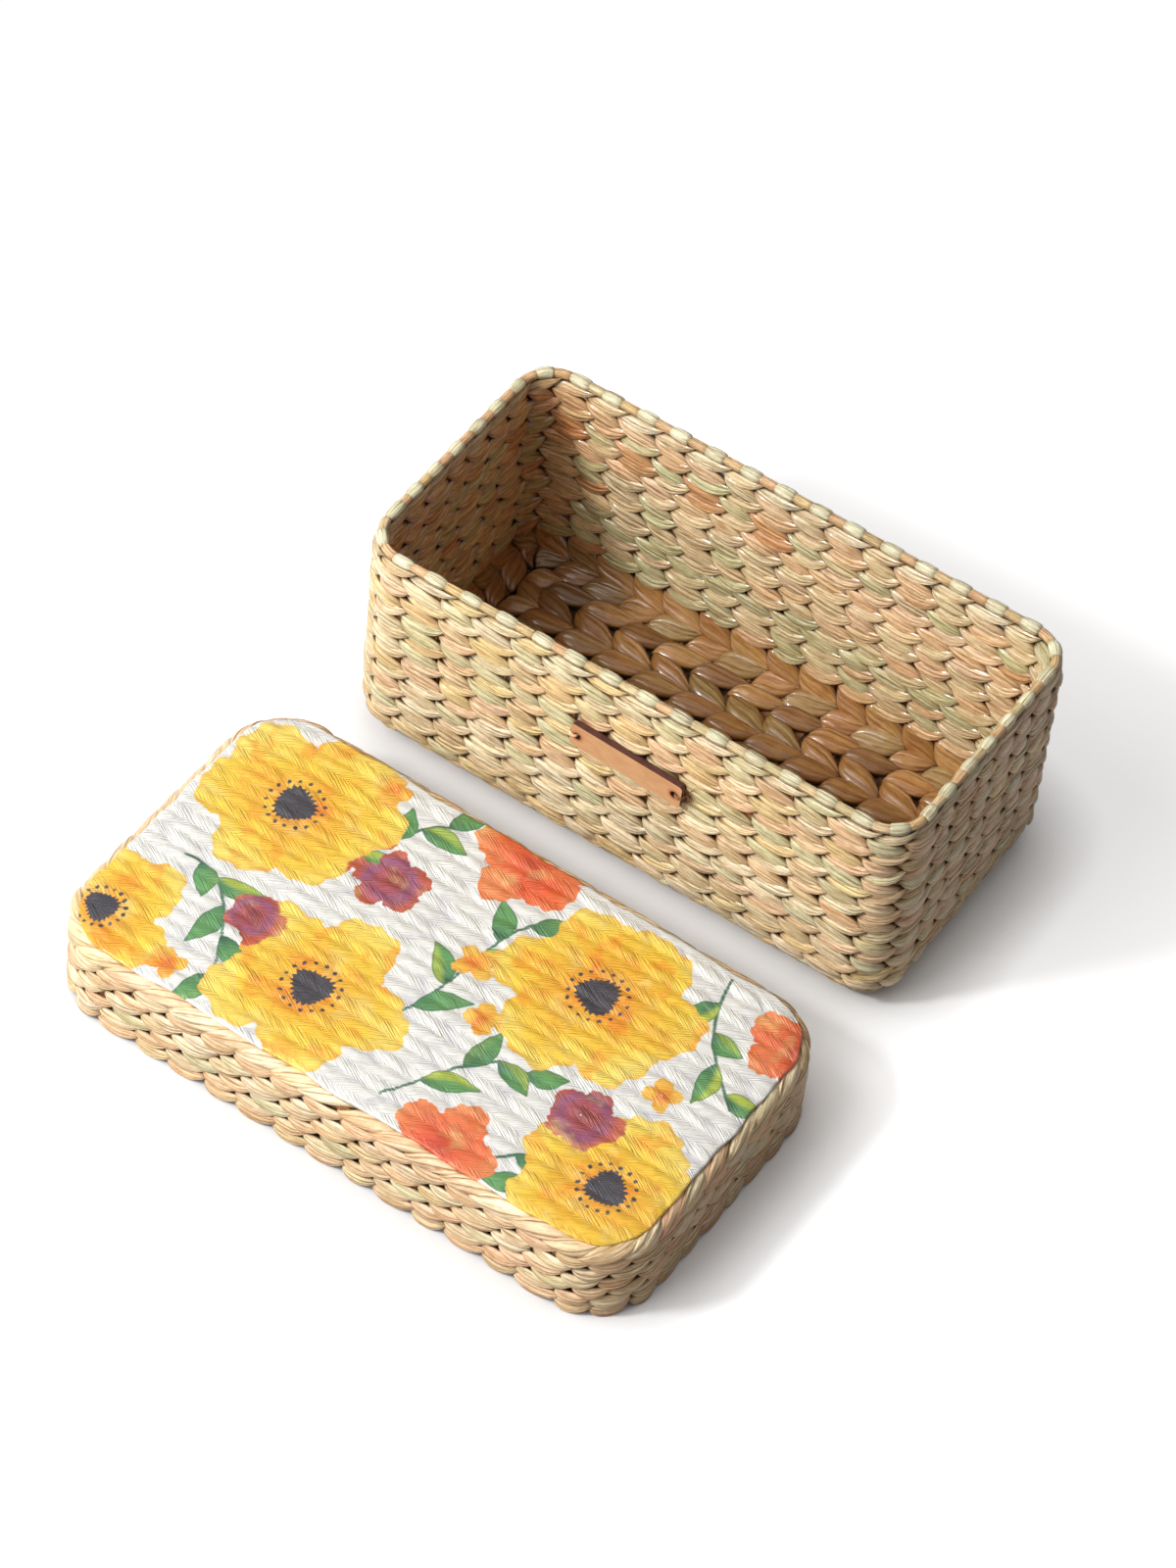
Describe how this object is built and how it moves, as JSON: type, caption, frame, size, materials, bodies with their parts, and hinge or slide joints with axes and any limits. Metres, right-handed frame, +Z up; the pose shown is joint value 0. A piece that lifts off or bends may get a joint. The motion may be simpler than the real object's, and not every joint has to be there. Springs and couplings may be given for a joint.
{
  "type": "woven lidded box",
  "caption": "Rectangular twined-reed box with a rolled rim, a blank wooden tag on its front wall and a loose lift-off lid whose ribbed top carries a glued printed sheet.",
  "frame": {"origin": "centre of the box's underside, on the surface it stands on", "axes": "+X along the box's length, +Z up, -Y towards the lid that stands beside the box"},
  "size_m": [0.272, 0.3144, 0.1083],
  "materials": {
    "pale_reed": "dried reed, pale straw to peach, satin sheen",
    "green_reed": "dried reed, pale grey green, satin sheen",
    "brown_reed": "thick brown reed, glossy",
    "stake_reed": "orange brown reed, dull",
    "tag_wood": "bare plywood with dark burnt edges",
    "tie_thread": "rough brown thread",
    "print_sheet": "glued varnished sheet with a floral print, satin"
  },
  "bodies": {
    "box": {"base_course": "pale_reed", "floor_edge_row": "brown_reed", "floor_row_01": "brown_reed", "floor_row_02": "brown_reed", "floor_row_03": "brown_reed", "floor_row_04": "brown_reed", "floor_row_05": "brown_reed", "wall_course_01": "pale_reed", "wall_course_02": "green_reed", "wall_course_03": "pale_reed", "wall_course_04": "green_reed", "wall_course_05": "pale_reed", "wall_course_06": "green_reed", "wall_course_07": "pale_reed", "wall_top_row": "pale_reed", "rim_border": "green_reed", "wall_tag": "tag_wood", "tag_tie_left": "tie_thread", "tag_tie_right": "tie_thread", "cross_stake_01": "stake_reed", "cross_stake_02": "stake_reed", "cross_stake_03": "stake_reed", "cross_stake_04": "stake_reed", "cross_stake_05": "stake_reed", "cross_stake_06": "stake_reed", "cross_stake_07": "stake_reed", "cross_stake_08": "stake_reed", "cross_stake_09": "stake_reed", "cross_stake_10": "stake_reed", "cross_stake_11": "stake_reed", "cross_stake_12": "stake_reed", "cross_stake_13": "stake_reed", "cross_stake_14": "stake_reed", "corner_stake_far_right": "stake_reed", "corner_stake_far_left": "stake_reed", "corner_stake_near_left": "stake_reed", "corner_stake_near_right": "stake_reed", "end_stakes_left": "stake_reed", "end_stakes_right": "stake_reed"},
    "lid": {"lid_course_01": "pale_reed", "lid_course_02": "green_reed", "lid_course_03": "pale_reed", "lid_shoulder_row": "pale_reed", "lid_top_panel": "pale_reed", "lid_print": "print_sheet", "lid_stakes_far": "stake_reed", "lid_stakes_near": "stake_reed", "lid_stakes_left": "stake_reed", "lid_stakes_right": "stake_reed"}
  },
  "joints": [
    {"name": "lid_lift", "type": "slide", "parent": "box", "child": "lid", "axis": [0, 0, 1], "range_m": [0, 0.15]}
  ]
}
